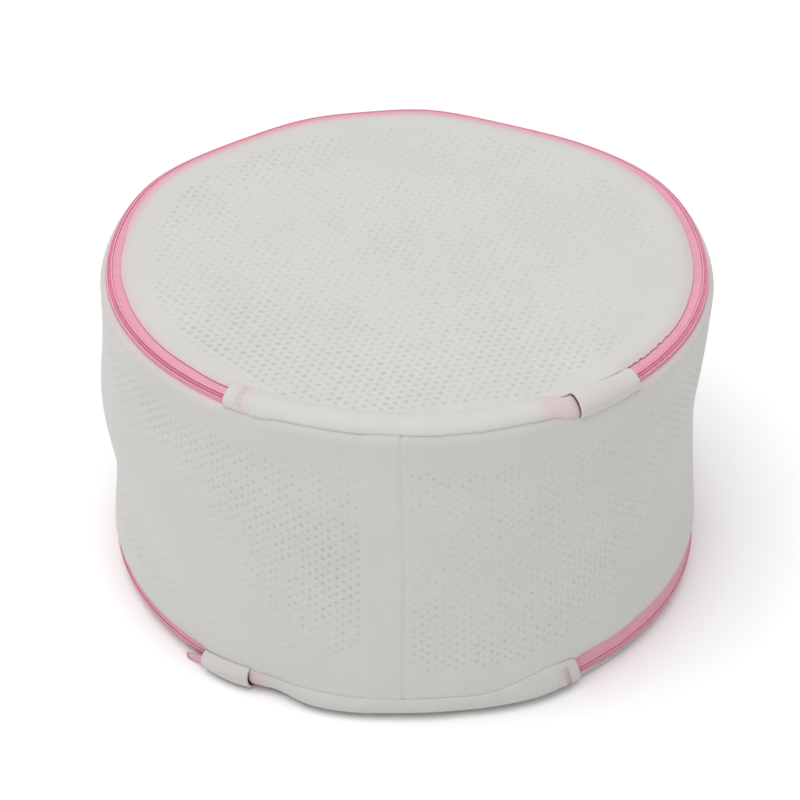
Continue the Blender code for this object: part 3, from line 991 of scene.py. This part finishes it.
def make_pull(end):
    """The stamped pull tab."""
    name = f"{end.name}_pull_tab_plate"
    flat = bpy.data.objects.new(f"{name}_outline", pull_curve(name))
    bpy.context.scene.collection.objects.link(flat)
    graph = bpy.context.evaluated_depsgraph_get()
    mesh = bpy.data.meshes.new_from_object(flat.evaluated_get(graph))
    bpy.data.objects.remove(flat, do_unlink=True)
    bm = bmesh.new()
    bm.from_mesh(mesh)
    bmesh.ops.remove_doubles(bm, verts=bm.verts, dist=0.00001)
    hinge = joint(f"{end.name}_pull_hinge")
    axes = slider_frame(end)
    across = Vector(hinge["axis"])
    outward = axes.to_3x3() @ Vector((0, 0, 1))
    if across.dot(axes.to_3x3() @ Vector((0, 1, 0))) < 0:
        across = -across
    lengthwise = across.cross(outward)
    pose = Matrix((lengthwise, across, outward)).transposed().to_4x4()
    swing, roll = PULL_HANG[end.name]
    pose = pose @ Matrix.Rotation(math.radians(swing), 4, "Z") @ Matrix.Rotation(math.radians(roll), 4, "X")
    pose.translation = Vector(hinge["pos_m"])
    finish_metal(name, bm, pose, f"{end.name}_pull_tab", f"{end.name}_pull", PULL_LOOK)


# ---------------------------------------------------------------- materials


class Look:
    """A material's node tree, built step by step."""

    def __init__(self, name, roughness, metallic=0.0):
        self.material = bpy.data.materials.new(name)
        self.material.use_nodes = True
        self.tree = self.material.node_tree
        self.shader = self.tree.nodes["Principled BSDF"]
        self.shader.inputs["Roughness"].default_value = roughness
        self.shader.inputs["Metallic"].default_value = metallic

    def node(self, kind, **settings):
        """Add a node; settings with an underscore in front are its properties."""
        made = self.tree.nodes.new(kind)
        for key, value in settings.items():
            if key.startswith("_"):
                setattr(made, key[1:], value)
            else:
                made.inputs[key].default_value = value
        return made

    def link(self, source, target):
        """Join two sockets."""
        self.tree.links.new(source, target)

    def stored(self, name, output="Fac"):
        """A value stored on the mesh."""
        made = self.node("ShaderNodeAttribute", _attribute_name=name)
        return made.outputs[output]

    def sheen(self, weight, roughness=0.5, tint=(1, 1, 1)):
        """The soft edge light of fibres."""
        self.shader.inputs["Sheen Weight"].default_value = weight
        self.shader.inputs["Sheen Roughness"].default_value = roughness
        self.shader.inputs["Sheen Tint"].default_value = (*tint, 1.0)

    def noise(self, vector, scale, detail=2.0):
        """Noise at a scale per metre, as a value about one half."""
        made = self.node("ShaderNodeTexNoise", Scale=scale, Detail=detail)
        self.link(vector, made.inputs["Vector"])
        return made.outputs["Fac"]

    def cells(self, vector, scale):
        """Distance to scattered points, for knit loops."""
        made = self.node("ShaderNodeTexVoronoi", Scale=scale)
        self.link(vector, made.inputs["Vector"])
        return made.outputs["Distance"]

    def bands(self, vector, period, direction, distortion=0.4):
        """Fine ribs with a period in metres."""
        made = self.node("ShaderNodeTexWave", Scale=math.pi / 10 / period, Distortion=distortion,
                         _bands_direction=direction)
        made.inputs["Detail Scale"].default_value = 3.0
        self.link(vector, made.inputs["Vector"])
        return made.outputs["Fac"]

    def remap(self, value, low, high, out_low, out_high):
        """Map one range of values to another."""
        made = self.node("ShaderNodeMapRange")
        for key, number in zip(("From Min", "From Max", "To Min", "To Max"), (low, high, out_low, out_high)):
            made.inputs[key].default_value = number
        self.link(value, made.inputs["Value"])
        return made.outputs["Result"]

    def maths(self, operation, first, second):
        """Arithmetic on two values, either of which may be a number."""
        made = self.node("ShaderNodeMath", _operation=operation)
        for index, value in enumerate((first, second)):
            if isinstance(value, (int, float)):
                made.inputs[index].default_value = value
            else:
                self.link(value, made.inputs[index])
        return made.outputs["Value"]

    def mix(self, share, first, second):
        """Blend two colours by a share."""
        made = self.node("ShaderNodeMix", _data_type="RGBA")
        self.link(share, made.inputs["Factor"])
        for key, colour in (("A", first), ("B", second)):
            socket = next(s for s in made.inputs if s.name == key and s.type == "RGBA")
            if isinstance(colour, tuple):
                socket.default_value = (*colour, 1.0)
            else:
                self.link(colour, socket)
        return next(s for s in made.outputs if s.type == "RGBA")

    def drift(self, vector, scale, detail, first, second):
        """A colour that wanders between two others."""
        share = self.remap(self.noise(vector, scale, detail), 0.3, 0.7, 0.0, 1.0)
        return self.mix(share, first, second)

    def bump(self, height, distance, strength=1.0, under=None):
        """Small relief in the surface."""
        made = self.node("ShaderNodeBump", Distance=distance, Strength=strength)
        self.link(height, made.inputs["Height"])
        if under is not None:
            self.link(under, made.inputs["Normal"])
        return made.outputs["Normal"]

    def done(self, colour, normal=None, roughness=None):
        """Connect the surface and return the material."""
        self.link(colour, self.shader.inputs["Base Color"])
        if normal is not None:
            self.link(normal, self.shader.inputs["Normal"])
        if roughness is not None:
            self.link(roughness, self.shader.inputs["Roughness"])
        return self.material


def mesh_look():
    """White padded spacer mesh with painted shade in its pits, pink where the tape shows through."""
    look = Look("cushion_mesh_white", 0.9)
    look.sheen(0.25, 0.6)
    rest = look.stored("rest", "Vector")
    cloth = look.drift(rest, 22, 3, (0.505, 0.500, 0.478), (0.527, 0.522, 0.500))
    loops = look.cells(rest, 900)
    cloth = look.mix(look.remap(loops, 0.1, 0.75, 0.0, 0.22), cloth, (0.465, 0.46, 0.445))
    # Painted shade in the pits, darkest at each pit's centre.
    pit = look.remap(look.stored("pit"), 0.10, 0.95, 0.0, 0.85)
    cloth = look.mix(pit, cloth, (0.27, 0.27, 0.265))
    # Pink where the tape shows through, plus painted pink bounce light at the cut edges.
    cloth = look.mix(look.stored("tint"), cloth, (0.62, 0.30, 0.35))
    fibres = look.bump(look.noise(rest, 2600, 2), 0.00012, 0.5)
    knit = look.bump(loops, 0.00022, 0.7, fibres)
    return look.done(cloth, knit)


def knit_look(name, inside_shade_colour, inside_shade_share):
    """White stretch knit with fine wales; its inner faces can take a painted shade colour."""
    look = Look(name, 0.85)
    look.sheen(0.3, 0.5)
    rest = look.stored("rest", "Vector")
    weave = look.stored("weave", "Vector")
    cloth = look.drift(rest, 60, 3, (0.505, 0.503, 0.482), (0.530, 0.526, 0.504))
    wales = look.bands(weave, 0.00075, "Y", 0.8)
    courses = look.bands(weave, 0.0006, "X", 1.2)
    texture = look.maths("ADD", look.maths("MULTIPLY", wales, 0.6), look.maths("MULTIPLY", courses, 0.4))
    cloth = look.mix(look.remap(texture, 0.0, 1.0, 0.10, 0.0), cloth, (0.46, 0.455, 0.435))
    patches = look.remap(look.noise(rest, 900, 2), 0.35, 0.65, 0.55, 1.45)
    cloth = look.mix(look.maths("MULTIPLY", look.stored("tint"), patches), cloth, (0.62, 0.34, 0.38))
    # Painted shade on the inner faces; for the sleeve a dark red that stands in for shade and pink light
    # bounced off the zip.
    inside = look.maths("MULTIPLY", look.stored("inside"), inside_shade_share)
    cloth = look.mix(inside, cloth, inside_shade_colour)
    return look.done(cloth, look.bump(texture, 0.00016, 0.6))


def tape_look():
    """Pink woven tape, with a fine herringbone."""
    look = Look("zip_tape_pink", 0.8)
    look.sheen(0.25, 0.5, (1.0, 0.85, 0.9))
    rest = look.stored("rest", "Vector")
    weave = look.stored("weave", "Vector")
    cloth = look.drift(rest, 90, 3, (0.70, 0.310, 0.395), (0.74, 0.355, 0.440))
    warp = look.bands(weave, 0.00062, "Y", 0.5)
    weft = look.bands(weave, 0.00050, "DIAGONAL", 0.6)
    texture = look.maths("MULTIPLY", warp, weft)
    cloth = look.mix(look.remap(texture, 0.0, 0.8, 0.40, 0.0), cloth, (0.61, 0.215, 0.30))
    return look.done(cloth, look.bump(texture, 0.0002, 0.7))


def coil_look():
    """Pink nylon coil."""
    look = Look("zip_coil_pink", 0.42)
    rest = look.stored("rest", "Vector")
    plastic = look.drift(rest, 240, 2, (0.73, 0.235, 0.345), (0.79, 0.285, 0.405))
    return look.done(plastic, look.bump(look.noise(rest, 3000, 1), 0.00004, 0.3))


def thread_look(name, light, dark):
    """Sewing thread with its twist."""
    look = Look(name, 0.6)
    look.sheen(0.2, 0.4)
    rest = look.stored("rest", "Vector")
    twist = look.noise(rest, 1600, 2)
    thread = look.mix(look.remap(twist, 0.35, 0.65, 0.0, 1.0), dark, light)
    return look.done(thread, look.bump(twist, 0.00008, 0.5))


def paint_look(name, colour, worn):
    """Pink painted metal, a little worn, with a faint orange peel."""
    look = Look(name, 0.34, 0.25)
    look.shader.inputs["Coat Weight"].default_value = 0.25
    look.shader.inputs["Coat Roughness"].default_value = 0.2
    rest = look.stored("rest", "Vector")
    scuffs = look.remap(look.noise(rest, 700, 4), 0.56, 0.72, 0.0, 0.5)
    paint = look.mix(scuffs, colour, worn)
    rough = look.remap(look.noise(rest, 300, 3), 0.3, 0.7, 0.28, 0.42)
    return look.done(paint, look.bump(look.noise(rest, 1800, 2), 0.00003, 0.25), rough)


def floor_look():
    """Plain pale floor."""
    look = Look("floor_white", 0.9)
    rest = look.node("ShaderNodeTexCoord").outputs["Object"]
    return look.done(look.drift(rest, 1.5, 2, (0.95, 0.95, 0.95), (0.955, 0.955, 0.955)))


MESH_LOOK = mesh_look()
KNIT_LOOK = knit_look("knit_binding_white", (0.62, 0.62, 0.60), 0.0)
# The sleeve's inner faces are painted dark red: painted shade in its open mouths, with painted pink bounce
# light from the zip.
SLEEVE_LOOK = knit_look("garage_knit", (0.52, 0.08, 0.14), 0.9)
TAPE_LOOK = tape_look()
COIL_LOOK = coil_look()
THREAD_LOOK = thread_look("stitch_thread_pink", (0.78, 0.42, 0.50), (0.72, 0.36, 0.44))
TACK_LOOK = thread_look("bar_tack_thread", (0.64, 0.57, 0.56), (0.60, 0.52, 0.51))
METAL_LOOK = paint_look("slider_paint", (0.66, 0.22, 0.33), (0.74, 0.40, 0.48))
PULL_LOOK = paint_look("pull_paint_pale", (0.60, 0.30, 0.40), (0.66, 0.42, 0.50))


# ---------------------------------------------------------------- stage


def make_floor():
    """A wide pale floor just under the drum."""
    bpy.ops.mesh.primitive_plane_add(size=40, location=(0, 0, -0.0004))
    floor = bpy.context.object
    floor.name = "floor"
    floor.data.materials.append(floor_look())


def add_area(name, location, target, size, power):
    """A soft square light aimed at a point."""
    light = bpy.data.lights.new(name, "AREA")
    light.shape = "SQUARE"
    light.size = size
    light.energy = power
    obj = bpy.data.objects.new(name, light)
    obj.location = location
    obj.rotation_euler = (Vector(target) - Vector(location)).to_track_quat("-Z", "Y").to_euler()
    bpy.context.scene.collection.objects.link(obj)


def make_lights():
    """White surroundings with one large soft light above."""
    world = bpy.data.worlds.new("studio")
    world.use_nodes = True
    world.node_tree.nodes["Background"].inputs["Color"].default_value = (1.0, 1.0, 1.0, 1.0)
    world.node_tree.nodes["Background"].inputs["Strength"].default_value = 0.64
    bpy.context.scene.world = world
    middle = (0.0, 0.0, 0.1)
    add_area("key", (-0.5, -0.5, 3.0), middle, 3.0, 74)
    add_area("fill", (-0.2, -1.9, 0.35), (0.0, -0.18, 0.03), 1.0, 2.2)


def make_camera():
    """The camera, at the height and angle from which the drum was seen."""
    lens = bpy.data.cameras.new("camera")
    lens.sensor_width = 36
    lens.lens = 142.2
    camera = bpy.data.objects.new("camera", lens)
    elevation, distance = math.radians(34.2), 1.911
    target = Vector((-0.0036, 0.0, 0.0985))
    back = Vector((0.0, -math.cos(elevation), math.sin(elevation)))
    roll = Matrix.Rotation(math.radians(0.62), 4, "Z")
    camera.matrix_world = (Matrix.Translation(target + back * distance)
                           @ (-back).to_track_quat("-Z", "Y").to_matrix().to_4x4() @ roll)
    bpy.context.scene.collection.objects.link(camera)
    bpy.context.scene.camera = camera


bpy.context.scene.view_settings.view_transform = "Standard"
make_camera()
make_lights()
make_floor()
make_side_cloth()
make_seam_tape()
for drum_end in (TOP, BOTTOM):
    make_end_cloth(drum_end)
    make_tapes(drum_end)
    make_coils(drum_end)
    make_zip_stitches(drum_end)
    make_binding(drum_end)
    make_end_cover(drum_end)
    make_bar_tack(drum_end)
    make_garage(drum_end)
    make_slider(drum_end)
    make_pull(drum_end)
